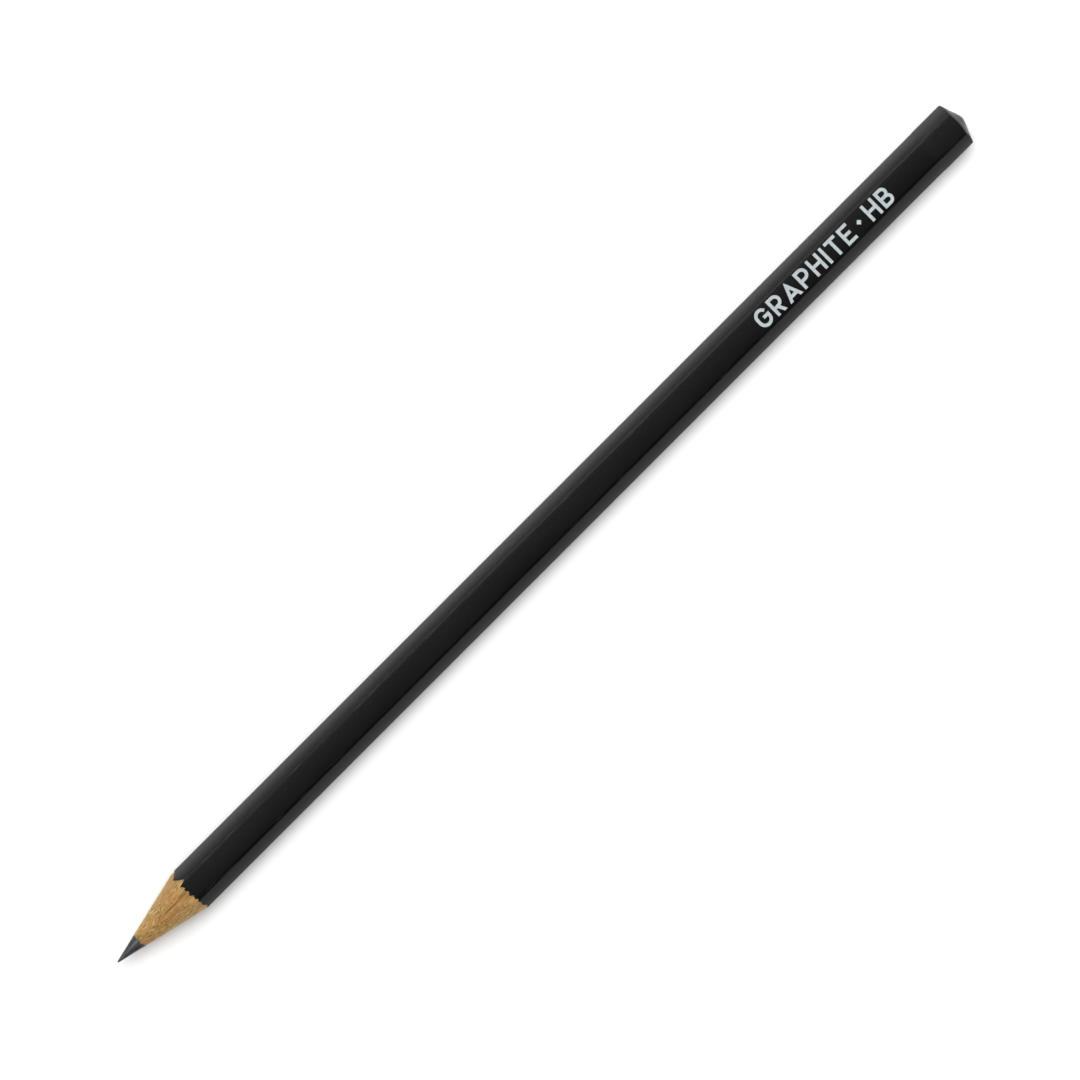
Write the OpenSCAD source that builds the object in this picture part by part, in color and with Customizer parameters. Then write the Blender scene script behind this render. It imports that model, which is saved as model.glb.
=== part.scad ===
// Hexagonal graphite pencil, sharpened at one end and dipped at the other.
// It lies along X on one flat of the barrel: the writing point is at -X, the dipped end at +X,
// and the stamped flat faces +Z. The origin is the middle of its footprint.

/* [Overall] */
// Length from the writing point to the top of the dipped end
overall_length = 175; // [100:0.5:180]

/* [Barrel] */
// Distance between opposite flats of the finished barrel
across_flats = 6.5; // [6.2:0.05:7.5]
// Radius of the six rounded corners of the finished barrel
corner_radius = 0.6; // [0.4:0.05:0.8]

/* [Lead] */
// Diameter of the graphite lead
lead_diameter = 2.3; // [1.9:0.05:2.6]

/* [Sharpened end] */
// Angle between the pencil's axis and the side of the cone
cone_half_angle = 13.2; // [10:0.2:16]
// Radius of the rounded writing point
point_radius = 0.15; // [0.08:0.01:0.3]

/* [Dipped end] */
// Angle between the side of the dome and a square cut
dome_slope = 22; // [15:1:30]
// Radius that rounds the top of the dome
dome_top_radius = 1.5; // [1:0.1:2]
// Length of barrel that the dip covers
dip_length = 8; // [5:0.5:12]

/* [Films] */
// Thickness of the sealer on the bare wood
sealer_thickness = 0.03; // [0.02:0.01:0.05]
// Thickness of the black lacquer
lacquer_thickness = 0.1; // [0.08:0.01:0.15]
// How far the dip stands proud of the lacquer
dip_thickness = 0.04; // [0.03:0.01:0.08]
// How far the dip has softened and sunk into the lacquer under it
dip_bite = 0.01; // [0.01:0.01:0.03]
// Thickness of the glue between the two slats, and round the lead
glue_thickness = 0.05; // [0.03:0.01:0.08]

/* [Imprint] */
// Height of the stamped letters
letter_height = 2.95; // [2.8:0.05:3]
// Width of the letters' strokes
stroke = 0.5; // [0.4:0.02:0.5]
// Space between two letters
letter_gap = 0.55; // [0.4:0.05:0.8]
// Space on either side of the diamond
sign_gap = 1.1; // [0.8:0.1:2]
// Distance from the top of the dome to the end of the imprint
imprint_setback = 15.4; // [14:0.2:40]
// Depth that the stamp presses the foil into the lacquer
stamp_depth = 0.03; // [0.02:0.01:0.05]
// Thickness of the foil
foil_thickness = 0.02; // [0.01:0.01:0.02]

/* [Hidden] */
$fn = 64;

// The dip is the thickest coat, so its flat is what touches the table
axis_height = across_flats / 2 + dip_thickness;
point_x = -overall_length / 2;
end_x = overall_length / 2;
lead_radius = lead_diameter / 2;
groove_radius = lead_radius + glue_thickness;
wood_inset = sealer_thickness + lacquer_thickness;
// Turn between two points on a rounded corner of the barrel
corner_step = 10;
// Stock runs past both ends, and the cone and the dome are cut from it
stock_half = overall_length / 2 + 5;
// A radius outside the whole barrel
clear_radius = across_flats;
// Height of the lacquer's top flat
top_flat = axis_height + across_flats / 2;

// ---- Stock ----

// Puts a shape that was drawn along Z on the pencil's axis, with its Z towards the dipped end
module on_axis()
    translate([0, 0, axis_height])
        rotate([90, 0, 90])
            children();

// Hexagon with a flat at top and bottom: `radius` rounds its corners
module rounded_hexagon(flats, radius) {
    reach = (flats - 2 * radius) / sqrt(3);
    polygon([
        for (corner = [0:60:300], turn = [-30:corner_step:30])
            reach * [cos(corner), sin(corner)] + radius * [cos(corner + turn), sin(corner + turn)]
    ]);
}

// Barrel stock whose surface lies `inset` below the lacquer's
module barrel(inset, from_x = -stock_half, to_x = stock_half)
    on_axis()
        translate([0, 0, from_x])
            linear_extrude(to_x - from_x)
                rounded_hexagon(across_flats - 2 * inset, corner_radius - inset);

module rod(radius)
    on_axis()
        cylinder(r = radius, h = 2 * stock_half, center = true);

// Slab through the pencil's axis, parallel to the table, from y0 to y1
module seam(y0, y1)
    translate([-stock_half, y0, axis_height - glue_thickness / 2])
        cube([2 * stock_half, y1 - y0, glue_thickness]);

// ---- What the sharpener and the end cutter leave ----

// Distance along the axis from the writing point to where the cone has this radius
function cone_at(radius) =
    point_radius - point_radius / sin(cone_half_angle) + radius / tan(cone_half_angle);

// Rounded point and cone, as [radius, x]
function cone_profile(steps = 4) = concat(
    [
        for (i = [0:steps])
            let (turn = (90 - cone_half_angle) * i / steps)
                [point_radius * sin(turn), point_x + point_radius * (1 - cos(turn))]
    ],
    [[clear_radius, point_x + cone_at(clear_radius)]]
);

// Rounded top and side of the dome, `inset` below its finished surface, as [radius, x]
function dome_profile(inset, steps = 8) =
    let (
        r = dome_top_radius - inset,
        side = [r * sin(dome_slope), end_x - dome_top_radius + r * cos(dome_slope)]
    )
    concat(
        [
            for (i = [0:steps - 1])
                let (turn = dome_slope * i / steps)
                    [r * sin(turn), end_x - dome_top_radius + r * cos(turn)]
        ],
        [side, [clear_radius, side[1] - (clear_radius - side[0]) * tan(dome_slope)]]
    );

// Everything inside the cone and the dome, where the dome is `inset` below the finished one
module turned(inset) {
    cone = cone_profile();
    dome = dome_profile(inset);
    on_axis()
        rotate_extrude()
            polygon(concat(cone, [for (i = [len(dome) - 1:-1:0]) dome[i]]));
}

// ---- Lettering: one pen of constant width follows each letter's centreline ----

function unit(v) = v / norm(v);
function left_of(v) = [-v[1], v[0]];

// Sideways step at point i of a path that keeps both edges of the pen parallel to the path
function mitre(path, i) =
    let (
        last = len(path) - 1,
        before = unit(path[max(i, 1)] - path[max(i, 1) - 1]),
        after = unit(path[min(i, last - 1) + 1] - path[min(i, last - 1)]),
        sum = left_of(before + after)
    )
    sum / (sum * left_of(after));

module pen(path)
    polygon(concat(
        [for (i = [0:len(path) - 1]) path[i] + stroke / 2 * mitre(path, i)],
        [for (i = [len(path) - 1:-1:0]) path[i] - stroke / 2 * mitre(path, i)]
    ));

function arc(centre, radius, from, to, steps = 12) = [
    for (i = [0:steps])
        let (turn = from + (to - from) * i / steps)
            centre + radius * [cos(turn), sin(turn)]
];

pen_half = stroke / 2;
// Heights of the pen's centre at the top of a letter and at its middle
cap = letter_height - pen_half;
middle = letter_height / 2;

module upright(x)
    pen([[x, 0], [x, letter_height]]);

module crossbar(x0, x1, y)
    pen([[x0, y], [x1, y]]);

// Half round on the right of a stem, between two heights
module bowl(width, low, high) {
    r = (high - low) / 2;
    pen(concat(
        [[pen_half, low]],
        arc([width - pen_half - r, low + r], r, -90, 90),
        [[pen_half, high]]
    ));
}

// Each letter below is `w` wide and stands on the line y = 0

module letter_g(w) {
    r = w / 2 - pen_half;
    // Angle above the bar at which the G opens
    opening = 25;
    pen(concat(
        arc([w / 2, cap - r], r, opening, 180),
        arc([w / 2, pen_half + r], r, 180, 360),
        [[w - pen_half, middle], [w / 2, middle]]
    ));
}

module letter_r(w) {
    letter_p(w);
    intersection() {
        pen([[w / 2 - pen_half, middle], [w - pen_half, -stroke]]);
        square([w + stroke, middle]);
    }
}

module letter_a(w) {
    intersection() {
        pen([[0, -stroke], [w / 2, letter_height - stroke], [w, -stroke]]);
        translate([-pen_half, 0])
            square([w + stroke, letter_height]);
    }
    crossbar(w / 4, w * 3 / 4, letter_height / 4);
}

module letter_p(w) {
    upright(pen_half);
    bowl(w, middle - pen_half, cap);
}

module letter_h(w) {
    upright(pen_half);
    upright(w - pen_half);
    crossbar(pen_half, w - pen_half, middle);
}

module letter_t(w) {
    upright(w / 2);
    crossbar(0, w, cap);
}

module letter_e(w) {
    upright(pen_half);
    for (y = [pen_half, cap])
        crossbar(pen_half, w, y);
    crossbar(pen_half, w - pen_half, middle);
}

module letter_b(w) {
    upright(pen_half);
    bowl(w, pen_half, middle);
    bowl(w - pen_half / 2, middle, cap);
}

module diamond(w)
    polygon([[0, middle], [w / 2, middle + w / 2], [w, middle], [w / 2, middle - w / 2]]);

// What is stamped, as [sign, width as a share of the letters' height, space before it]
imprint = [
    ["G", 0.79, 0], ["R", 0.7, letter_gap], ["A", 0.82, letter_gap], ["P", 0.69, letter_gap],
    ["H", 0.72, letter_gap], ["I", stroke / letter_height, letter_gap], ["T", 0.72, letter_gap],
    ["E", 0.64, letter_gap], ["diamond", 0.31, sign_gap], ["H", 0.72, sign_gap], ["B", 0.7, letter_gap]
];

function sign_width(i) = imprint[i][1] * letter_height;

// Length of the imprint up to and including the first `count` signs
function run_length(count) =
    count == 0 ? 0 : run_length(count - 1) + imprint[count - 1][2] + sign_width(count - 1);

module sign(name, w) {
    if (name == "G") letter_g(w);
    if (name == "R") letter_r(w);
    if (name == "A") letter_a(w);
    if (name == "P") letter_p(w);
    if (name == "H") letter_h(w);
    if (name == "I") upright(w / 2);
    if (name == "T") letter_t(w);
    if (name == "E") letter_e(w);
    if (name == "B") letter_b(w);
    if (name == "diamond") diamond(w);
}

// The whole imprint on the top flat, from `low` to `high` against the lacquer's surface
module stamped(low, high) {
    start_x = end_x - imprint_setback - run_length(len(imprint));
    for (i = [0:len(imprint) - 1])
        translate([start_x + run_length(i) + imprint[i][2], -letter_height / 2, top_flat + low])
            linear_extrude(high - low)
                sign(imprint[i][0], sign_width(i));
}

// ---- The pencil's pieces ----

module graphite_core()
    color([0.24, 0.24, 0.25])
        intersection() {
            rod(lead_radius);
            turned(dip_thickness);
        }

// Sleeve of glue that holds the lead in its groove
module core_glue()
    color([0.86, 0.8, 0.62])
        intersection() {
            difference() {
                rod(groove_radius);
                rod(lead_radius);
            }
            turned(dip_thickness);
        }

// Half of the casing: side is 1 above the seam, and -1 below it
module slat(side)
    color([0.78, 0.6, 0.38])
        difference() {
            intersection() {
                barrel(wood_inset);
                turned(dip_thickness);
                translate([0, 0, axis_height + side * (clear_radius + glue_thickness / 2)])
                    cube([2 * stock_half, 2 * clear_radius, 2 * clear_radius], center = true);
            }
            rod(groove_radius);
        }

module upper_slat() slat(1);

module lower_slat() slat(-1);

// Glue between the slats on one side of the lead: side is 1 at +Y, and -1 at -Y
module glue_line(side)
    color([0.86, 0.8, 0.62])
        difference() {
            intersection() {
                barrel(wood_inset);
                turned(dip_thickness);
                seam(side > 0 ? 0 : -clear_radius, side > 0 ? clear_radius : 0);
            }
            rod(groove_radius);
        }

module left_glue_line() glue_line(1);

module right_glue_line() glue_line(-1);

module sealer_coat()
    color([0.3, 0.27, 0.24])
        intersection() {
            difference() {
                barrel(lacquer_thickness);
                barrel(wood_inset);
            }
            turned(dip_thickness);
        }

module lacquer_coat()
    color([0.09, 0.09, 0.09])
        difference() {
            intersection() {
                union() {
                    barrel(0, to_x = end_x - dip_length);
                    barrel(dip_bite);
                }
                turned(dip_thickness);
            }
            barrel(lacquer_thickness);
            // the stamp's pockets are open at the top
            stamped(-stamp_depth, stamp_depth);
        }

// Cap of lacquer over the dome and the last stretch of the barrel
module end_dip()
    color([0.1, 0.1, 0.1])
        difference() {
            intersection() {
                barrel(-dip_thickness, from_x = end_x - dip_length);
                turned(0);
            }
            intersection() {
                barrel(dip_bite);
                turned(dip_thickness);
            }
        }

module imprint_foil()
    color([0.74, 0.78, 0.8])
        stamped(-stamp_depth, foil_thickness - stamp_depth);

graphite_core();
core_glue();
upper_slat();
lower_slat();
left_glue_line();
right_glue_line();
sealer_coat();
lacquer_coat();
end_dip();
imprint_foil();
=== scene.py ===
import math

import bmesh
import bpy
import numpy as np
from mathutils import Matrix, Vector, noise


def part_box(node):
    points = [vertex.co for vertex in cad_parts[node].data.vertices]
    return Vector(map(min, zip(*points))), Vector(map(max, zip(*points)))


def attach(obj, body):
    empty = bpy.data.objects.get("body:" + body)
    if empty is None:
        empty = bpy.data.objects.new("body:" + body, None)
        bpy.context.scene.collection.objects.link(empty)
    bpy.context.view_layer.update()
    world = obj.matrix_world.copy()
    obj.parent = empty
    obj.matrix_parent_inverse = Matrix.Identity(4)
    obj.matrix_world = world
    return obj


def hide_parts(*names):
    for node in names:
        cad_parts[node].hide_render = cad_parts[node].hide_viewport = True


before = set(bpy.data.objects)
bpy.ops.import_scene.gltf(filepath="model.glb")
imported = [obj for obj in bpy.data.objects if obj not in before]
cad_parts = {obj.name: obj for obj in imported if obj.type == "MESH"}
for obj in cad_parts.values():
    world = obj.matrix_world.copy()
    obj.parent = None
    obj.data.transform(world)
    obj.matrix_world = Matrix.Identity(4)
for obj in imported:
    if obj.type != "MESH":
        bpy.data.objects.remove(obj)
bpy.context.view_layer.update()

# Lengths below are in mm, and angles in degrees, unless their comment says otherwise.
# Sections of the pencil are drawn in the plane of Y and Z, and angles in them run from +Y to +Z.
MM = 0.001


# ---- Sizes that the CAD frame gives ----

def box(node):
    """Lowest and highest corner of a CAD node."""
    return [np.array(corner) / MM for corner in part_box(node)]


lead_low, lead_high = box("graphite_core")
glue_low, glue_high = box("core_glue")
slat_low, slat_high = box("upper_slat")
seam_low, seam_high = box("left_glue_line")
sealer_high = box("sealer_coat")[1]
lacquer_low, lacquer_high = box("lacquer_coat")
dip_low, dip_high = box("end_dip")
foil_low, foil_high = box("imprint_foil")

POINT_X = lead_low[0]
END_X = dip_high[0]
LIP_X = dip_low[0]
AXIS_Z = (lacquer_low[2] + lacquer_high[2]) / 2

# The barrel: a hexagon with flats at top and bottom, and its corners' centres at a radius of REACH
HALF_FLATS = lacquer_high[2] - AXIS_Z
REACH = (lacquer_high[1] - HALF_FLATS) / (1 - math.cos(math.radians(30)))
CORNER_RADIUS = lacquer_high[1] - REACH

# How far each surface lies below the lacquer's
SEALER_INSET = lacquer_high[2] - sealer_high[2]
WOOD_INSET = lacquer_high[2] - slat_high[2]
DIP_INSET = lacquer_high[2] - dip_high[2]
# The dip has softened and sunk into the lacquer under it
DIP_BITE = 0.01

LEAD_RADIUS = lead_high[1]
GROOVE_RADIUS = glue_high[1]
SEAM_HALF = (seam_high[2] - seam_low[2]) / 2

# The glue sleeve is a thin ring, so its radii and both its ends give the slopes of the cone and the dome
SLEEVE = GROOVE_RADIUS - LEAD_RADIUS
CONE_TAN = SLEEVE / (slat_low[0] - glue_low[0])
CONE_SIN = math.sin(math.atan(CONE_TAN))
CONE_APEX_X = glue_low[0] - LEAD_RADIUS / CONE_TAN
POINT_RADIUS = (POINT_X - CONE_APEX_X) / (1 / CONE_SIN - 1)
DOME_TAN = (glue_high[0] - slat_high[0]) / SLEEVE
DOME_COS = math.cos(math.atan(DOME_TAN))
DOME_SIN = DOME_COS * DOME_TAN
DOME_TOP_RADIUS = (
    slat_high[0] - END_X - DIP_INSET / DOME_COS + GROOVE_RADIUS * DOME_TAN
) / (1 / DOME_COS - 1)


# ---- Shape helpers ----

# Edges at which the surface turns by more than this stay sharp
SHARP_TURN = 35
# Points that would otherwise touch are kept this far apart
HAIR = 0.01
# Points this close are one and the same
SAME_POINT = 1e-5


def heading(angle):
    """Unit vector (y, z) at an angle."""
    return np.array([math.cos(math.radians(angle)), math.sin(math.radians(angle))])


def columns(first, last, arc_steps, flat_steps):
    """Columns round the barrel, for outward normals from `first` to `last`, as (anchors, normals).

    An anchor lies on the hexagon through the corners' centres, and every coat's surface lies on
    the line from it along the normal. A full turn ends with the flat that leads back to its start.
    """
    full_turn = last - first == 360
    anchors, normals = [], []
    for corner in range(0, 420, 60):
        low, high = max(first, corner - 30), min(last, corner + 30)
        if high <= low:
            continue
        for turn in np.linspace(low, high, max(2, round(arc_steps * (high - low) / 60)) + 1):
            anchors.append(REACH * heading(corner))
            normals.append(heading(turn))
        if last > high or full_turn:
            for share in np.arange(1, flat_steps) / flat_steps:
                anchors.append(REACH * ((1 - share) * heading(corner) + share * heading(corner + 60)))
                normals.append(heading(high))
    return np.array(anchors), np.array(normals)


def at_inset(column, inset):
    """Points (y, z) of the columns on the surface that lies `inset` below the lacquer's."""
    anchors, normals = column
    return anchors + (CORNER_RADIUS - inset) * normals


def radius_of(points):
    return np.hypot(points[:, 0], points[:, 1])


def angle_of(points):
    return np.degrees(np.arctan2(points[:, 1], points[:, 0])) % 360


def cone_x(radius):
    """Where the sharpener's cone has a radius."""
    return CONE_APEX_X + radius / CONE_TAN


def cone_radius(x):
    """Radius of the sharpener's cone, without its rounded point."""
    return (x - CONE_APEX_X) * CONE_TAN


def dome_x(radius, inset):
    """Where the domed end is, `inset` below its finished surface, at a distance from the axis."""
    top = DOME_TOP_RADIUS - inset
    centre = END_X - DOME_TOP_RADIUS
    side = centre + top * DOME_COS - (radius - top * DOME_SIN) * DOME_TAN
    crown = centre + np.sqrt(np.maximum(top * top - radius * radius, 0))
    return np.where(radius < top * DOME_SIN, crown, side)


def filleted_x(radius, rim, inset, fillet):
    """As dome_x, but with a fillet where the dome meets a barrel of radius `rim`."""
    depth = fillet - (rim - radius)
    arc_centre = dome_x(rim, inset) - fillet * (1 - DOME_SIN) / DOME_COS
    arc = arc_centre + np.sqrt(np.maximum(fillet * fillet - depth * depth, 0))
    return np.where(depth > fillet * DOME_SIN, arc, dome_x(radius, inset))


def grain(points, stretch, size):
    """Smooth noise from about -1 to 1 at points (x, y, z).

    Its features are `size` across, and `stretch` times longer along the pencil.
    """
    flat = points.reshape(-1, 3) / np.array([size * stretch, size, size])
    return np.array([noise.noise(Vector(p)) for p in flat]).reshape(points.shape[:-1])


def zigzag(seed, least, most):
    """Saw teeth round the pencil, whose edges each take from `least` to `most` degrees.

    Returns a function from an angle to a height: near 0 at a tooth's tip, and near 1 between teeth.
    """
    rng = np.random.default_rng(seed)
    angles, heights = [0.0], [0.0]
    while angles[-1] < 360:
        angles.append(angles[-1] + rng.uniform(least, most))
        low = len(angles) % 2
        heights.append(rng.uniform(0, 0.3) if low else rng.uniform(0.5, 1))
    return lambda angle: np.interp(angle, angles, heights, period=angles[-1])


def skin(name, grid, ring=True, poles=False, shade=None):
    """Closed mesh through grid[column][point] = (x, y, z).

    A column's points go once round its outline, or from pole to pole if `poles`. The last column joins
    the first if `ring`, and otherwise a flat cap closes each side. `shade`, from 0 to 1 at each point,
    is painted shade that the material darkens, in pits and cracks.
    """
    count, points = grid.shape[:2]
    faces = []
    for k in range(count if ring else count - 1):
        ahead = (k + 1) % count
        for m in range(points - 1 if poles else points):
            after = (m + 1) % points
            faces.append((k * points + m, k * points + after, ahead * points + after, ahead * points + m))
    if not ring:
        faces.append(tuple(range(points)))
        faces.append(tuple(range((count - 1) * points, count * points)))
    placed = grid.reshape(-1, 3) + np.array([0, 0, AXIS_Z])
    mesh = bpy.data.meshes.new(name)
    mesh.from_pydata((placed * MM).tolist(), [], faces)
    if shade is not None:
        mesh.attributes.new("shade", "FLOAT", "POINT").data.foreach_set("value", shade.ravel())
    work = bmesh.new()
    work.from_mesh(mesh)
    # the points of all columns meet at a pole
    bmesh.ops.remove_doubles(work, verts=work.verts, dist=SAME_POINT * MM)
    bmesh.ops.recalc_face_normals(work, faces=work.faces)
    work.to_mesh(mesh)
    work.free()
    smooth(mesh)
    return add_object(name, mesh)


def smooth(mesh):
    """Smooth shading, apart from the edges that turn by more than SHARP_TURN."""
    mesh.shade_smooth()
    mesh.set_sharp_from_angle(angle=math.radians(SHARP_TURN))


def add_object(name, data):
    """New object in the scene that holds a mesh, lamp or camera."""
    made = bpy.data.objects.new(name, data)
    bpy.context.scene.collection.objects.link(made)
    return made


def stacked(profile):
    """Grid from a list of (x, points) pairs, one for each place along a column's outline."""
    rows = []
    for x, points in profile:
        x = np.broadcast_to(x, len(points))
        rows.append(np.column_stack([x, points]))
    return np.stack(rows, axis=1)


# ---- Where each coat ends at the sharpened end ----

ARC_STEPS = 12
FLAT_STEPS = 60
BARREL = columns(-30, 330, ARC_STEPS, FLAT_STEPS)
# Between these places the barrel is plain
PLAIN_START = POINT_X + 20
PLAIN_END = END_X - 5
# Fillet where the dome meets the barrel, outside and under the dip
RIM_FILLET = 0.2
INNER_FILLET = 0.3
# How far the lacquer keeps its full thickness under the dip, and how soon it then thins
UNDER_LIP = 0.4
THINNING = 0.1

# The sharpener chips the lacquer back in teeth, and bare wood runs furthest up the corners.
# Distance from the point to the lacquer's edge, by angle round the pencil
CHIPS = {
    0: 15.6, 12: 15.1, 28: 14.4, 44: 15.0, 60: 15.75, 66: 14.5, 72: 14.95, 80: 14.65, 88: 15.0, 98: 14.6,
    104: 15.1, 113: 14.85, 118: 15.2, 126: 14.9, 137: 15.15, 152: 14.9, 172: 15.4, 190: 14.7, 208: 15.0,
    222: 14.5, 240: 15.5, 250: 14.7, 270: 14.9, 283: 14.4, 300: 15.3, 312: 14.6, 330: 14.85, 345: 14.5,
}
# Height of the fine teeth on the chips' edge
CHIP_FINE = 0.16

fine_teeth = zigzag(seed=8, least=1.6, most=4)
feather_fine = zigzag(seed=6, least=2.5, most=6)


def chipped_x(angle):
    """Where the lacquer ends at an angle round the pencil."""
    edge = np.interp(angle, list(CHIPS), list(CHIPS.values()), period=360)
    return POINT_X + edge + CHIP_FINE * (fine_teeth(angle) - 0.5)


# ---- Wood ----

# How far the torn wood reaches over the lead, by angle round the pencil
FEATHERS = {
    10: 0, 40: 0.06, 64: 0.2, 76: 0, 92: 0.13, 115: 0.28, 126: 0.03, 150: 0, 175: 0.06, 200: 0.2,
    222: 0.03, 245: 0.26, 262: 0.06, 285: 0.23, 305: 0, 330: 0.19, 350: 0.03,
}
# Height of the fine teeth on the torn edge
FEATHER_FINE = 0.06
# How far the torn edge stands proud of the cone, how soon that fades, and how far its underside
# stands off the lead
FEATHER_HEIGHT = 0.014
FEATHER_FADE = 0.5
FEATHER_FLOOR = 0.004
# Rows of points along the cut cone, and along the barrel that the chips lay bare
CONE_ROWS = 150
BARE_ROWS = 30
# How far the slat's fine rows run on under the lacquer, and at least past the end of the cone
COVERED = 0.3
PAST_CREASE = 0.2
# The crease between the cone and the barrel is worn down by this much, over this width
CREASE_WEAR = 0.012
CREASE_WIDTH = 0.12
# The wood's relief ends this far short of the lacquer, and fades in over this length
RELIEF_MARGIN = 0.08
RELIEF_FADE = 0.25

# Cracks along the grain on the stamped side: start and end, as distances from the point, y, and depth
CRACKS = [
    (9.6, 14.8, 0.2, 0.05),
    (4.7, 8.6, -0.1, 0.018),
    (8.2, 11.4, -0.55, 0.014),
    (11.8, 13.9, -1.3, 0.012),
]
# Half width of a crack, how soon it tapers off at its ends, and the depth at which its painted shade is
# darkest
CRACK_WIDTH = 0.085
CRACK_TAPER = 0.6
DARKEST_CRACK = 0.05


def feather_x(angle):
    """Where the wood's torn feather edge lies on the lead, at an angle round the pencil."""
    torn = np.interp(angle, list(FEATHERS), list(FEATHERS.values()), period=360)
    return slat_low[0] - torn - FEATHER_FINE * (1 - feather_fine(angle))


def wood_relief(points):
    """How far the cut wood stands above the ideal cone, and the painted shade of its pits and cracks, from 0
    to 1.
    """
    # fine and broad fibres, and pits where fibres were torn out
    fibres = 0.007 * grain(points, 12, 0.07) + 0.009 * grain(points + 50, 10, 0.22)
    torn = np.clip(grain(points + 90, 12, 0.13) - 0.3, 0, 1)
    # pits and cracks get painted shade that grows with their depth
    relief, pit_shade = fibres - 0.12 * torn, 1.6 * torn
    x, y, z = points[..., 0] - POINT_X, points[..., 1], points[..., 2]
    for start, end, middle, depth in CRACKS:
        along = np.clip(np.minimum(x - start, end - x) / CRACK_TAPER, 0, 1)
        wander = middle + 0.018 * np.sin(x * 2) + 0.01 * np.sin(x * 11)
        across = along * np.exp(-(((y - wander) / CRACK_WIDTH) ** 2)) * (z > 0)
        relief, pit_shade = relief - depth * across, pit_shade + depth / DARKEST_CRACK * across
    return relief, np.clip(pit_shade, 0, 1)


def slat_points(angle, x, radius, side):
    """Points of a slat's columns at (x, radius).

    `angle` holds one angle for each column. The columns are spread at each radius so that the first
    and the last one stay on the seam.
    """
    start = np.degrees(np.arcsin(SEAM_HALF / radius))
    share = (angle - angle[0]) / (angle[-1] - angle[0])
    turn = np.radians((0 if side > 0 else 180) + start + share[:, None] * (180 - 2 * start))
    return np.stack([x, radius * np.cos(turn), radius * np.sin(turn)], axis=-1)


def make_slat(name, side):
    """Half of the casing: side is 1 above the seam, and -1 below it."""
    lean = math.degrees(math.asin(SEAM_HALF / (CORNER_RADIUS - WOOD_INSET)))
    first = 0 if side > 0 else 180
    column = columns(first + lean, first + 180 - lean, ARC_STEPS, FLAT_STEPS)
    outer = at_inset(column, WOOD_INSET)
    angle = angle_of(outer)
    barrel = radius_of(outer)
    rim = radius_of(at_inset(column, DIP_BITE))
    tip = feather_x(angle)
    crease = cone_x(barrel)
    bare_end = np.maximum(chipped_x(angle) + COVERED, crease + PAST_CREASE)
    # rows along the cut cone, then along the barrel that the chips lay bare
    cut = tip[:, None] + (crease - tip)[:, None] * np.linspace(0, 1, CONE_ROWS)
    bare = crease[:, None] + (bare_end - crease)[:, None] * np.linspace(0, 1, BARE_ROWS)[1:]
    x = np.hstack([cut, bare])
    radius = np.minimum(cone_radius(x), barrel[:, None])
    radius = radius - CREASE_WEAR * np.exp(-(((x - crease[:, None]) / CREASE_WIDTH) ** 2))
    shown = np.clip((chipped_x(angle)[:, None] - RELIEF_MARGIN - x) / RELIEF_FADE, 0, 1)
    shown = shown * np.clip((x - tip[:, None]) / RELIEF_FADE, 0, 1)
    relief, pit_shade = wood_relief(slat_points(angle, x, radius, side))
    radius = radius + relief * shown + FEATHER_HEIGHT * np.exp((tip[:, None] - x) / FEATHER_FADE)
    # each row is its x, radius and painted shade
    rows = [(x[:, k], radius[:, k], pit_shade[:, k] * shown[:, k]) for k in range(x.shape[1])]
    rows += [(x, barrel, 0) for x in np.linspace(PLAIN_START, PLAIN_END, 8)]
    shoulder = rim - INNER_FILLET * (1 - DOME_SIN)
    rows += [(filleted_x(r, rim, -DIP_INSET, INNER_FILLET), r, 0) for r in (barrel, shoulder)]
    rows += [(dome_x(GROOVE_RADIUS, -DIP_INSET), GROOVE_RADIUS, 0), (slat_low[0], GROOVE_RADIUS, 0)]
    underside = np.minimum(tip + 2 * HAIR, slat_low[0] - HAIR)
    rows += [(underside, cone_radius(underside) + FEATHER_FLOOR, 0)]
    whole = [[np.broadcast_to(value, len(angle)) for value in row] for row in rows]
    x, radius, shade = np.stack(whole, axis=-1)
    return skin(name, slat_points(angle, x, radius, side), ring=False, shade=shade)


# Rows of points along the seam's cut, and where the plain barrel starts there
SEAM_ROWS = 120
SEAM_PLAIN_START = POINT_X + 15
# The seam's relief ends this far short of the lacquer, and its glue lies this far below the wood
SEAM_MARGIN = 0.1
SEAM_SINK = 0.004


def make_glue_line(name, side):
    """Glue between the slats: side is 1 at +Y, and -1 at -Y."""
    corner = REACH + CORNER_RADIUS
    wood = corner - WOOD_INSET
    cut = np.linspace(slat_low[0], cone_x(wood), SEAM_ROWS)
    x = np.concatenate([cut, np.linspace(SEAM_PLAIN_START, PLAIN_END, 6)])
    radius = np.minimum(cone_radius(x), wood)
    edge = np.stack([x, side * radius, np.zeros_like(x)], axis=-1)
    shown = np.clip((chipped_x(0 if side > 0 else 180) - SEAM_MARGIN - x) / RELIEF_FADE, 0, 1)
    radius = radius + (wood_relief(edge)[0] - SEAM_SINK) * shown
    corner_end = filleted_x(wood, corner - DIP_BITE, -DIP_INSET, INNER_FILLET)
    x = np.concatenate([x, [corner_end, dome_x(GROOVE_RADIUS, -DIP_INSET), slat_low[0] + HAIR / 10]])
    radius = np.concatenate([radius, [wood, GROOVE_RADIUS, GROOVE_RADIUS]])
    plates = [
        np.column_stack([x, side * np.sqrt(radius**2 - SEAM_HALF**2), np.full(len(x), height)])
        for height in (-SEAM_HALF, SEAM_HALF)
    ]
    return skin(name, np.stack(plates), ring=False)


# ---- Lead ----

# Columns round the lead, and rows along its rounded point and its cone
ROUND = 96
TIP_ROWS = 9
LEAD_ROWS = 150
# Spiral that the turning blade leaves
TOOL_PITCH = 0.085
TOOL_DEPTH = 0.0016
# Soft flats along the cone, as (how many go round the lead, height)
BROAD_FLATS = (5, 0.008)
NARROW_FLATS = (13, 0.005)
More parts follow.
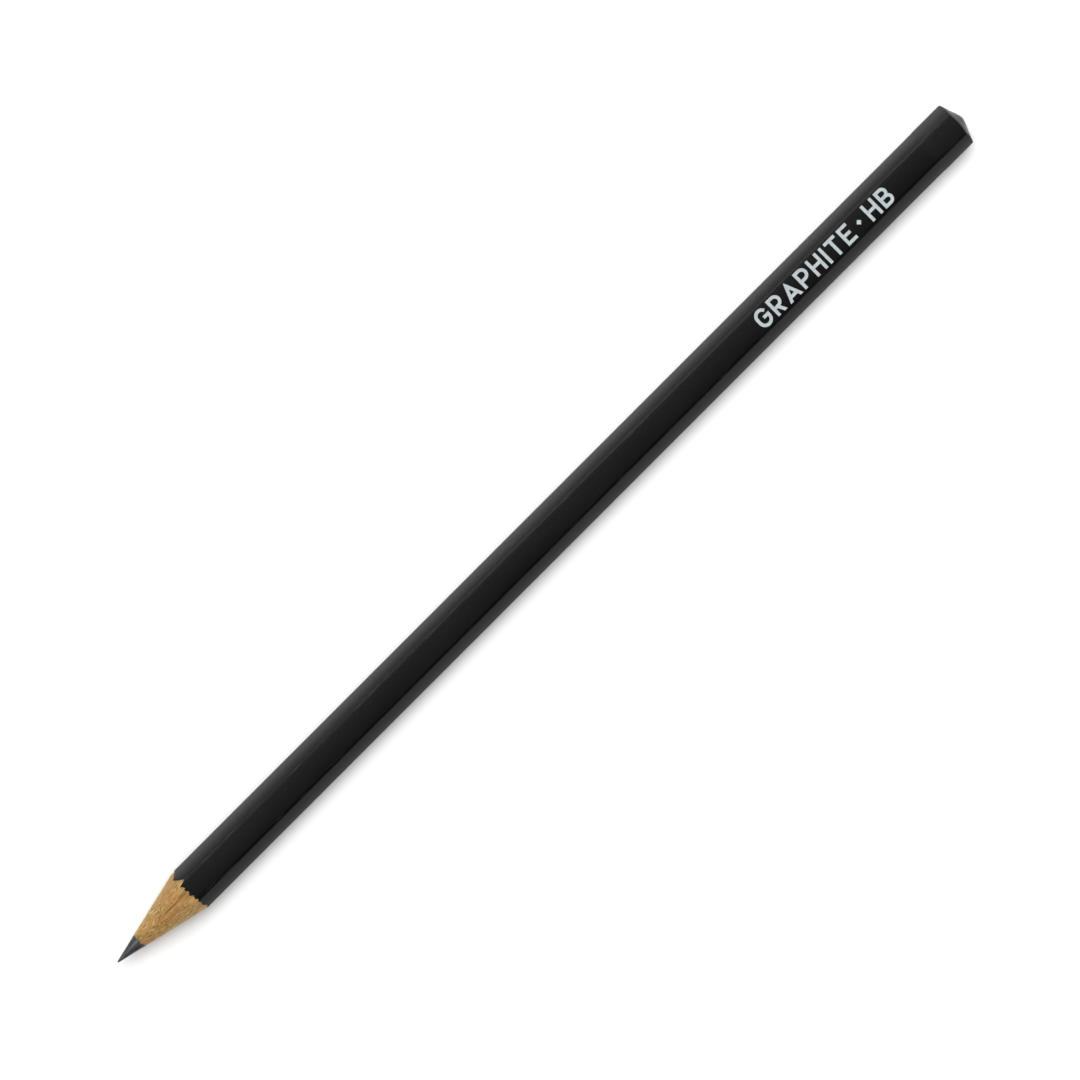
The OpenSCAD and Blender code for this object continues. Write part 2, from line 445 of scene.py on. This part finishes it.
# Fine scratches, and how far all marks together lie below the ideal cone
SCRATCH = 0.005
SCRATCH_RADIUS = 1.5
TOOL_SINK = 0.008
# The marks fade in over this length from the point, and out over this length to this margin of the wood
POINT_FADE = 0.6
WOOD_FADE = 0.3
WOOD_MARGIN = 0.1
# The point is worn a little to two sides
POINT_WEAR = 0.03


def make_core(name):
    """Lead from its rounded point to the dome, with the marks of turning on its bare cone."""
    turn = np.radians(np.linspace(0, 360, ROUND, endpoint=False))[:, None]
    tip = np.linspace(0, math.pi / 2 - math.asin(CONE_SIN), TIP_ROWS)[None, :]
    tip_x = POINT_X + POINT_RADIUS * (1 - np.cos(tip))
    tip_radius = POINT_RADIUS * np.sin(tip)
    cone_start = tip_x[0, -1]
    cut_x = np.linspace(cone_start, glue_low[0], LEAD_ROWS)[None, 1:]
    spiral = TOOL_DEPTH * np.sin(2 * math.pi * (cut_x / TOOL_PITCH) + turn)
    broad = BROAD_FLATS[1] * np.cos(BROAD_FLATS[0] * turn + 0.8 * np.sin(cut_x))
    narrow = NARROW_FLATS[1] * np.cos(NARROW_FLATS[0] * turn + cut_x)
    round_lead = (cut_x, SCRATCH_RADIUS * np.cos(turn), SCRATCH_RADIUS * np.sin(turn))
    scratches = SCRATCH * grain(np.stack(np.broadcast_arrays(*round_lead), axis=-1), 6, 0.12)
    marks_end = slat_low[0] - max(FEATHERS.values()) - WOOD_MARGIN
    fade = np.clip((cut_x - cone_start) / POINT_FADE, 0, 1) * np.clip((marks_end - cut_x) / WOOD_FADE, 0, 1)
    cut_radius = cone_radius(cut_x) + (spiral + broad + narrow + scratches - TOOL_SINK) * fade
    worn = POINT_WEAR * np.cos(2 * turn + 0.6) * np.sin(tip) ** 2 * (1 - np.sin(tip))
    tail_radius = np.array([LEAD_RADIUS, LEAD_RADIUS / 2, 0])
    tail_x = dome_x(tail_radius, -DIP_INSET)
    x = np.hstack([np.broadcast_to(row, (ROUND, row.size)) for row in (tip_x, cut_x, tail_x)])
    radius = np.hstack([tip_radius + worn, cut_radius, np.broadcast_to(tail_radius, (ROUND, 3))])
    grid = np.stack([x, radius * np.cos(turn), radius * np.sin(turn)], axis=-1)
    return skin(name, grid, poles=True)


def make_sleeve(name):
    """Glue round the lead, from the cone to the dome."""
    turn = np.radians(np.linspace(0, 360, ROUND, endpoint=False))[:, None]
    radius = np.array([LEAD_RADIUS, GROOVE_RADIUS, GROOVE_RADIUS, LEAD_RADIUS])
    x = np.concatenate([cone_x(radius[:2]), dome_x(radius[2:], -DIP_INSET)])
    x = np.broadcast_to(x, (ROUND, len(x)))
    return skin(name, np.stack([x, radius * np.cos(turn), radius * np.sin(turn)], axis=-1))


# ---- Coats ----

# Rows that hold the barrel flat behind a coat's broken edge, as distances from it
HOLD_ROWS = (0.02, 0.3)
# Where the first row of the plain barrel follows them
COAT_PLAIN_START = POINT_X + 17


def make_coat(name, top, bottom, ahead, slope, steps):
    """Coat between two insets.

    Its broken edge runs `ahead` of the chipped edge, and rises over `slope` in so many steps.
    """
    outer, inner = at_inset(BARREL, top), at_inset(BARREL, bottom)
    rim = radius_of(at_inset(BARREL, DIP_BITE))
    angle = angle_of(outer)
    foot = np.maximum(chipped_x(angle) - ahead, cone_x(radius_of(inner)))
    lip = np.maximum(foot, cone_x(radius_of(outer)) - slope)
    profile = []
    for share in np.linspace(0, 1, steps + 1):
        # steep at the foot, and rounded over at the top
        inset = bottom + (top - bottom) * math.sin(share * math.pi / 2)
        profile.append((lip + (slope * share**2) + (foot - lip) * (1 - share), at_inset(BARREL, inset)))
    for hold in HOLD_ROWS:
        profile.append((lip + slope + hold, outer))
    for x in (COAT_PLAIN_START, *np.linspace(PLAIN_START, LIP_X - 1, 14), LIP_X + UNDER_LIP):
        profile.append((x, outer))
    # under the dip the lacquer is softened down to the bite
    covered = at_inset(BARREL, max(top, DIP_BITE))
    profile.append((LIP_X + UNDER_LIP + THINNING, covered))
    for surface in (covered, inner):
        radius = radius_of(surface)
        profile.append((filleted_x(radius, rim, -DIP_INSET, INNER_FILLET), surface))
    for x in np.linspace(LIP_X, PLAIN_START, 6):
        profile.append((x, inner))
    return skin(name, stacked(profile))


# The dip's lip wanders by this much, as features of this size round a barrel of this radius
LIP_WANDER = 0.12
LIP_WANDER_SIZE = 1.3
LIP_WANDER_RADIUS = 3
# The lip starts this far below the lacquer's surface, and rises to the dip's own over this length
LIP_EDGE = 0.002
LIP_SLOPE = 1.6
# Faint rings that the cutter leaves on the dome: they fade out towards its middle and its rim
RIPPLE = 0.018
RIPPLE_PITCH = 1.6
RIPPLE_FADE = 0.6
RIM_FADE = 0.3
RIM_MARGIN = 0.4
# Round rings of points reach out to this radius, and beyond it they turn into hexagons
ROUND_RINGS = 2.7
# The domed end is slightly oblique: how much further it reaches at +Y than at -Y
OBLIQUE = 0.26


def oblique_x(points):
    """How much further the domed end reaches at points (y, z), because it is oblique."""
    return OBLIQUE * ((1 + points[:, 0] / HALF_FLATS) / 2) ** 2


def make_dip(name):
    """Cap of lacquer over the domed end and the last stretch of the barrel."""
    outer, inner = at_inset(BARREL, DIP_INSET), at_inset(BARREL, DIP_BITE)
    angle = angle_of(outer)
    rim, inner_rim = radius_of(outer), radius_of(inner)
    out, into = outer / rim[:, None], inner / inner_rim[:, None]
    profile = []

    def ring_at(radius):
        radius = np.broadcast_to(radius, len(rim))
        turn = radius * 2 * math.pi / RIPPLE_PITCH
        ripple = RIPPLE * (0.3 * np.sin(3 * turn) - np.sin(turn)) * np.clip(radius / RIPPLE_FADE, 0, 1)
        ripple = ripple * np.clip((rim - radius - RIM_MARGIN) / RIM_FADE, 0, 1)
        points = out * radius[:, None]
        profile.append((filleted_x(radius, rim, 0, RIM_FILLET) + ripple + oblique_x(points), points))

    for radius in np.linspace(0, ROUND_RINGS, 55):
        ring_at(radius)
    fillet_start = rim - RIM_FILLET * (1 - DOME_SIN)
    for share in np.linspace(0, 1, 6)[1:]:
        ring_at(ROUND_RINGS + (fillet_start - ROUND_RINGS) * share)
    start = math.degrees(math.asin(DOME_SIN))
    for turn in np.radians(np.linspace(start, 90, 10))[1:]:
        x = dome_x(rim, 0) - RIM_FILLET * (1 - DOME_SIN) / DOME_COS + RIM_FILLET * math.cos(turn)
        points = out * (rim - RIM_FILLET * (1 - math.sin(turn)))[:, None]
        profile.append((x + oblique_x(points), points))
    # the dip ends in a soft, slightly uneven lip
    turn = np.radians(angle)
    around = LIP_WANDER_RADIUS * np.column_stack([np.zeros_like(turn), np.cos(turn), np.sin(turn)])
    lip = LIP_X + LIP_WANDER * (1 + grain(around, 1, LIP_WANDER_SIZE))
    for behind in (5, 3, 2):
        profile.append((LIP_X + behind, outer))
    for share in (0.9, 0.75, 0.6, 0.45, 0.3, 0.15, 0):
        thick = math.sin(share * math.pi / 2) ** 2
        inset = LIP_EDGE + (DIP_INSET - LIP_EDGE) * thick
        profile.append((lip + LIP_SLOPE * share, at_inset(BARREL, inset)))
    profile.append((lip + HAIR, inner))
    profile.append((END_X - 3, inner))
    for turn in np.radians(np.linspace(90, start, 5)):
        x = dome_x(inner_rim, -DIP_INSET) - INNER_FILLET * (1 - DOME_SIN) / DOME_COS
        radius = inner_rim - INNER_FILLET * (1 - math.sin(turn))
        profile.append((x + INNER_FILLET * math.cos(turn), into * radius[:, None]))
    for radius in (2.4, 1.8, 1.2, 0.6, 0.3, 0):
        profile.append((dome_x(radius, -DIP_INSET), into * radius))
    return skin(name, stacked(profile), poles=True)


# How far the cutter for the stamp's pockets reaches above the flat
ABOVE_FLAT = 0.1


def stamp(piece, node):
    """Cuts the stamp's pockets into the lacquer, from the foil's floor up through the surface."""
    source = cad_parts[node].data
    cutter_mesh = source.copy()
    work = bmesh.new()
    work.from_mesh(cutter_mesh)
    bmesh.ops.remove_doubles(work, verts=work.verts, dist=SAME_POINT * MM)
    middle = (foil_low[2] + foil_high[2]) / 2 * MM
    for vertex in work.verts:
        if vertex.co.z > middle:
            vertex.co.z = (lacquer_high[2] + ABOVE_FLAT) * MM
    work.to_mesh(cutter_mesh)
    work.free()
    cutter = add_object("cutter", cutter_mesh)
    cut = piece.modifiers.new("stamp", "BOOLEAN")
    cut.operation = "DIFFERENCE"
    cut.solver = "EXACT"
    cut.object = cutter
    evaluated = piece.evaluated_get(bpy.context.evaluated_depsgraph_get())
    result = bpy.data.meshes.new_from_object(evaluated)
    piece.modifiers.clear()
    # the foil came with normals of its own
    result.attributes.remove(result.attributes["custom_normal"])
    piece.data = result
    smooth(result)
    bpy.data.objects.remove(cutter)


# ---- Materials ----

class Graph:
    """Helper for building a node tree."""

    def __init__(self, tree):
        self.tree = tree

    def node(self, kind, links=None, **settings):
        """New node whose inputs are fed from `links`, by name or by number."""
        made = self.tree.nodes.new(kind)
        for key, value in settings.items():
            setattr(made, key, value)
        for key, value in (links or {}).items():
            self.feed(made.inputs[key], value)
        return made

    def feed(self, socket, value):
        """Links a socket, or sets it to a number or a colour."""
        if isinstance(value, bpy.types.NodeSocket):
            self.tree.links.new(value, socket)
        elif socket.type == "RGBA" and len(value) == 3:
            socket.default_value = (*value, 1)
        else:
            socket.default_value = value

    def spread(self, value, low, high, out_low=0.0, out_high=1.0):
        """Smooth step from `out_low` where the value is `low` to `out_high` where it is `high`."""
        made = self.node(
            "ShaderNodeMapRange",
            {"Value": value, "From Min": low, "From Max": high, "To Min": out_low, "To Max": out_high},
            interpolation_type="SMOOTHSTEP",
        )
        return made.outputs["Result"]

    def mix(self, share, first, second):
        """Colour that is `first` where the share is 0, and `second` where it is 1."""
        made = self.node("ShaderNodeMix", data_type="RGBA")
        for index, value in ((0, share), (6, first), (7, second)):
            self.feed(made.inputs[index], value)
        return made.outputs[2]

    def choose(self, share, first, second):
        """As mix, but for numbers."""
        made = self.node("ShaderNodeMix", {0: share, 2: first, 3: second})
        return made.outputs[0]

    def math(self, operation, *values):
        return self.node("ShaderNodeMath", dict(enumerate(values)), operation=operation).outputs[0]

    def product(self, first, second):
        return self.math("MULTIPLY", first, second)

    def sum(self, *terms):
        """Sum of (weight, value) pairs."""
        total = 0.0
        for weight, value in terms:
            total = self.math("MULTIPLY_ADD", value, weight, total)
        return total


class Look(Graph):
    """A Principled material whose textures are laid out in the object's own space."""

    def __init__(self, name):
        self.material = bpy.data.materials.new(name)
        self.material.use_nodes = True
        super().__init__(self.material.node_tree)
        self.shader = self.tree.nodes["Principled BSDF"]
        self.place = self.node("ShaderNodeTexCoord").outputs["Object"]
        apart = self.node("ShaderNodeSeparateXYZ", {0: self.place})
        # distance from the point, and y and height from the axis, all in mm
        self.along = self.math("MULTIPLY_ADD", apart.outputs["X"], 1 / MM, -POINT_X)
        self.side = self.product(apart.outputs["Y"], 1 / MM)
        self.height = self.math("MULTIPLY_ADD", apart.outputs["Z"], 1 / MM, -AXIS_Z)

    def noise(self, stretch, size, detail=3, roughness=0.6, offset=0.0):
        """Noise with features about `size` mm across, and `stretch` times longer along the pencil."""
        per_metre = 1 / (size * MM)
        mapped = self.node(
            "ShaderNodeMapping",
            {"Vector": self.place, "Location": (offset, offset, offset),
             "Scale": (per_metre / stretch, per_metre, per_metre)},
        )
        made = self.node(
            "ShaderNodeTexNoise",
            {"Vector": mapped.outputs["Vector"], "Scale": 1.0, "Detail": detail, "Roughness": roughness},
        )
        return made.outputs["Fac"]

    def radius_squared(self):
        return self.sum((1, self.math("POWER", self.side, 2.0)), (1, self.math("POWER", self.height, 2.0)))

    def shade(self):
        """Painted shade that the mesh gives a point, in the wood's pits and cracks."""
        return self.node("ShaderNodeAttribute", attribute_name="shade").outputs["Fac"]

    def bump(self, height, depth):
        """Bump from a height that is multiplied by `depth` mm."""
        made = self.node("ShaderNodeBump", {"Height": height, "Distance": depth * MM, "Strength": 1.0})
        self.feed(self.shader.inputs["Normal"], made.outputs["Normal"])

    def set(self, **inputs):
        """Feeds the shader's inputs, named with _ for each space."""
        for key, value in inputs.items():
            self.feed(self.shader.inputs[key.replace("_", " ")], value)

    def paint(self, piece):
        piece.data.materials.clear()
        piece.data.materials.append(self.material)


# Radius to which lacquer crowns over the flats, as seen in how they reflect
CROWN = 30


def lacquer_look(name):
    """Satin black, duller on the dip: orange peel, rub marks, specks of dust and worn corners."""
    look = Look(name)
    peel = look.noise(1.6, 0.5, detail=2)
    rub = look.spread(look.noise(40, 0.05, detail=2, offset=7), 0.62, 0.75)
    cloud = look.noise(4, 6, detail=3, offset=3)
    dust = look.spread(look.noise(1, 0.09, detail=1, offset=11), 0.74, 0.8)
    squared = look.radius_squared()
    corner = look.spread(squared, (HALF_FLATS + 0.28) ** 2, (REACH + CORNER_RADIUS) ** 2)
    worn = look.product(corner, look.spread(look.noise(9, 0.35, offset=5), 0.5, 0.72))
    dipped = look.spread(look.along, LIP_X - POINT_X - 0.5, LIP_X - POINT_X + 2)
    base = look.mix(dipped, (0.0021, 0.0021, 0.0023), (0.0036, 0.0036, 0.0038))
    colour = look.mix(look.spread(cloud, 0.35, 0.65, 0.3, 0), base, (0, 0, 0))
    colour = look.mix(look.product(worn, 0.4), colour, (0.014, 0.014, 0.014))
    colour = look.mix(look.product(dust, 0.4), colour, (0.03, 0.03, 0.03))
    satin = look.spread(cloud, 0.3, 0.7, 0.21, 0.27)
    roughness = look.sum((1, satin), (0.1, dipped), (0.12, worn), (0.05, rub))
    look.set(Base_Color=colour, Roughness=roughness, IOR=1.47)
    depth = 0.006
    look.bump(look.sum((1, peel), (-0.15, rub), (0.3, dust), (-0.5 / CROWN / depth, squared)), depth)
    return look


def wood_look():
    """Sharpened cedar: fibres, vessels, soft bands and a redder middle, with graphite dust by the lead and
    painted shade in pits and cracks.
    """
    look = Look("bare_wood")
    bands = look.spread(look.noise(14, 0.9, detail=2, offset=2), 0.39, 0.61)
    fibres = look.spread(look.noise(24, 0.15, detail=3, offset=4), 0.38, 0.62)
    fine = look.spread(look.noise(15, 0.08, detail=2, offset=9), 0.36, 0.64)
    vessels = look.spread(look.noise(32, 0.08, detail=1, roughness=0.4, offset=13), 0.58, 0.7)
    pale = look.spread(look.noise(24, 0.18, detail=2, offset=17), 0.54, 0.68)
    patch = look.spread(look.noise(2.5, 1.1, detail=1, offset=23), 0.5, 0.66)
    from_heart = look.math("ABSOLUTE", look.math("ADD", look.side, 0.45))
    heart = look.spread(from_heart, 0.2, 1.7, 0.6, 0)
    colour = look.mix(bands, (0.235, 0.122, 0.023), (0.4, 0.243, 0.06))
    colour = look.mix(look.product(fibres, 0.95), colour, (0.165, 0.074, 0.013))
    colour = look.mix(look.product(fine, 0.6), colour, (0.49, 0.31, 0.085))
    colour = look.mix(look.product(pale, 0.95), colour, (0.57, 0.41, 0.19))
    colour = look.mix(look.product(patch, 0.5), colour, (0.39, 0.18, 0.055))
    colour = look.mix(look.product(heart, bands), colour, (0.28, 0.112, 0.022))
    colour = look.mix(look.product(vessels, 0.8), colour, (0.09, 0.031, 0.008))
    # painted shade in the pits and cracks, darker where they are deeper
    colour = look.mix(look.product(look.shade(), 0.9), colour, (0.11, 0.034, 0.01))
    dust = look.spread(look.along, 4.2, 5.4, 0.55, 0.0)
    smear = look.product(dust, look.spread(look.noise(6, 0.14, offset=31), 0.3, 0.7, 0.2, 1.0))
    colour = look.mix(smear, colour, (0.05, 0.042, 0.036))
    look.set(
        Base_Color=colour,
        Roughness=look.spread(fibres, 0.0, 1.0, 0.62, 0.82),
        Sheen_Weight=0.6,
        Sheen_Roughness=0.4,
        Sheen_Tint=(1.0, 0.8, 0.45),
    )
    look.bump(look.sum((0.6, fibres), (0.4, fine), (-0.7, vessels)), 0.02)
    return look


def graphite_look():
    """Turned graphite: dark grey, with a metallic sheen, bright grains and burnished streaks."""
    look = Look("graphite")
    speck = look.spread(look.noise(2.5, 0.05, detail=2, offset=6), 0.58, 0.72)
    streak = look.spread(look.noise(10, 0.16, detail=2, offset=8), 0.4, 0.66)
    cloud = look.noise(2, 0.8, detail=2, offset=12)
    colour = look.mix(look.spread(cloud, 0.35, 0.65), (0.042, 0.0425, 0.045), (0.072, 0.073, 0.077))
    colour = look.mix(look.product(speck, 0.5), colour, (0.15, 0.15, 0.16))
    look.set(
        Base_Color=colour,
        Metallic=look.spread(streak, 0.0, 1.0, 0.3, 0.6),
        Roughness=look.spread(streak, 0.0, 1.0, 0.46, 0.32),
    )
    look.bump(look.sum((0.5, speck), (0.6, streak)), 0.01)
    return look


def foil_look():
    """Hot-stamped silver: a satin grain, and lacquer showing through a little where the foil is thin."""
    look = Look("silver_foil")
    mottle = look.noise(1.2, 0.35, detail=3, offset=3)
    thin = look.spread(look.noise(1, 0.12, detail=2, offset=19), 0.62, 0.78)
    colour = look.mix(look.spread(mottle, 0.3, 0.7), (0.36, 0.405, 0.42), (0.45, 0.5, 0.51))
    colour = look.mix(look.product(thin, 0.45), colour, (0.12, 0.13, 0.14))
    look.set(Base_Color=colour, Metallic=0.2, Roughness=look.spread(mottle, 0.3, 0.7, 0.4, 0.55))
    look.bump(look.noise(1, 0.05, detail=1), 0.003)
    return look


def glue_look():
    """Amber glue, grey with graphite where the sharpener has cut it."""
    look = Look("wood_glue")
    cloud = look.noise(3, 0.2, detail=3)
    colour = look.mix(look.spread(cloud, 0.3, 0.7), (0.2, 0.11, 0.035), (0.3, 0.19, 0.075))
    grey = look.spread(look.along, 4.65, 5.2, 0.93, 0.0)
    colour = look.mix(grey, colour, (0.05, 0.045, 0.042))
    look.set(Base_Color=colour, Roughness=0.6)
    look.bump(cloud, 0.01)
    return look


def sealer_look():
    """Dark, dull primer, slightly mottled."""
    look = Look("dark_sealer")
    cloud = look.noise(3, 0.15, detail=3)
    colour = look.mix(look.spread(cloud, 0.35, 0.65), (0.012, 0.009, 0.007), (0.035, 0.022, 0.014))
    look.set(Base_Color=colour, Roughness=0.7)
    look.bump(cloud, 0.01)
    return look


# ---- The pencil ----

def build_pencil():
    wood, glue = wood_look(), glue_look()
    sealer = make_coat("sealer", SEALER_INSET, WOOD_INSET, ahead=0.13, slope=0.04, steps=2)
    lacquer = make_coat("lacquer", 0, SEALER_INSET, ahead=0.05, slope=0.07, steps=4)
    stamp(lacquer, "imprint_foil")
    # piece, the node it stands for, its slot and its look
    built = [
        (make_core("lead"), "graphite_core", "graphite", graphite_look()),
        (make_sleeve("lead_glue"), "core_glue", "glue", glue),
        (make_slat("wood_upper", 1), "upper_slat", "wood", wood),
        (make_slat("wood_lower", -1), "lower_slat", "wood", wood),
        (make_glue_line("seam_left", 1), "left_glue_line", "glue", glue),
        (make_glue_line("seam_right", -1), "right_glue_line", "glue", glue),
        (sealer, "sealer_coat", "sealer", sealer_look()),
        (lacquer, "lacquer_coat", "lacquer", lacquer_look("black_lacquer")),
        (make_dip("dip"), "end_dip", "dip", lacquer_look("black_dip")),
    ]
    for piece, node, slot, look in built:
        look.paint(piece)
        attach(piece, "root")
        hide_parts(node)
    foil_look().paint(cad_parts["imprint_foil"])


# ---- Floor, light and camera ----

# The picture is this wide where the pencil lies, and the camera leans this far towards +Y
FRAME_WIDTH = 158.3
CAMERA_DISTANCE = 1150
CAMERA_TILT = 2.2
SENSOR_WIDTH = 36
FLOOR_WIDTH = 6000


def build_floor():
    """Pale floor, with painted reflection shade: in the pencil's reflections only, it darkens away from it,
    as black flags would.
    """
    half = FLOOR_WIDTH / 2 * MM
    corners = [(-half, -half, 0), (half, -half, 0), (half, half, 0), (-half, half, 0)]
    mesh = bpy.data.meshes.new("floor")
    mesh.from_pydata(corners, [], [(0, 1, 2, 3)])
    floor = add_object("floor", mesh)
    look = Look("pale_floor")
    # painted reflection shade: glossy rays see the floor darker to both sides of the pencil and beyond its
    # end
    left = look.spread(look.side, 8.7, 16.0, 1.0, 0.22)
    right = look.spread(look.side, -10.0, -4.0, 0.28, 1.0)
    length = END_X - POINT_X
    beyond = look.spread(look.along, length + 2, length + 6, 1.0, 0.6)
    glossy = look.node("ShaderNodeLightPath").outputs["Is Glossy Ray"]
    shade = look.choose(glossy, 1.0, look.product(beyond, look.product(left, right)))
    look.set(Base_Color=look.mix(shade, (0, 0, 0), (0.86, 0.86, 0.86)), Roughness=0.9, Specular_IOR_Level=0.1)
    look.paint(floor)


def add_softbox(name, place, target, size, radiance, seen_by):
    """Rectangular softbox at a place, turned to its target, that only lights rays of the kind `seen_by`."""
    data = bpy.data.lights.new(name, "AREA")
    data.shape = "RECTANGLE"
    data.size, data.size_y = (side * MM for side in size)
    data.energy = radiance * math.pi * data.size * data.size_y
    lamp = add_object(name, data)
    lamp.location = Vector(place) * MM
    away = Vector(place) - Vector(target)
    lamp.rotation_mode = "QUATERNION"
    lamp.rotation_quaternion = away.to_track_quat("Z", "Y")
    lamp.visible_glossy = seen_by == "glossy"
    lamp.visible_diffuse = seen_by == "diffuse"
    return lamp


def build_world():
    """Soft light from all round, with a gradient of its own for what the lacquer reflects."""
    world = bpy.data.worlds.new("studio")
    world.use_nodes = True
    graph = Graph(world.node_tree)
    rays = graph.node("ShaderNodeLightPath").outputs
    place = graph.node("ShaderNodeTexCoord").outputs["Generated"]
    toward_left = graph.node("ShaderNodeSeparateXYZ", {0: place}).outputs["Y"]
    steep = graph.spread(toward_left, -0.2, 0.08, 0.04, 0.38)
    mirrored = graph.math("ADD", steep, graph.spread(toward_left, 0.08, 0.8, 0.0, 0.2))
    level = graph.choose(rays["Is Glossy Ray"], 0.6, mirrored)
    level = graph.choose(rays["Is Camera Ray"], level, 0.95)
    background = world.node_tree.nodes["Background"]
    graph.feed(background.inputs["Strength"], level)
    graph.feed(background.inputs["Color"], (1, 1, 1))
    bpy.context.scene.world = world


def build_camera():
    """Camera above the pencil's middle, turned so that the pencil rises at 45 degrees to the right."""
    data = bpy.data.cameras.new("camera")
    data.sensor_width = SENSOR_WIDTH
    data.lens = SENSOR_WIDTH * CAMERA_DISTANCE / FRAME_WIDTH
    data.clip_start, data.clip_end = 0.1, 20
    camera = add_object("camera", data)
    tilt = math.radians(CAMERA_TILT)
    back = Vector((0, math.sin(tilt), math.cos(tilt)))
    across = Vector((0, math.cos(tilt), -math.sin(tilt)))
    along = Vector((1, 0, 0))
    right = (along - across).normalized()
    up = (along + across).normalized()
    centre = Vector(((POINT_X + END_X) / 2, 0, AXIS_Z)) * MM
    place = Matrix.Translation(centre + back * CAMERA_DISTANCE * MM)
    camera.matrix_world = place @ Matrix((right, up, back)).transposed().to_4x4()
    bpy.context.scene.camera = camera


def build_studio():
    build_floor()
    build_world()
    middle = (0, 0, AXIS_Z)
    add_softbox("key", (230, 295, 925), middle, (900, 900), 4.5, "diffuse")
    add_softbox("strip", (95, 300, 110), middle, (300, 130), 1.0, "glossy")
    add_softbox("glint", (POINT_X - 430, 400, 800), (POINT_X, 0, AXIS_Z), (500, 500), 4.6, "glossy")
    build_camera()
    bpy.context.scene.view_settings.view_transform = "Standard"


build_pencil()
build_studio()
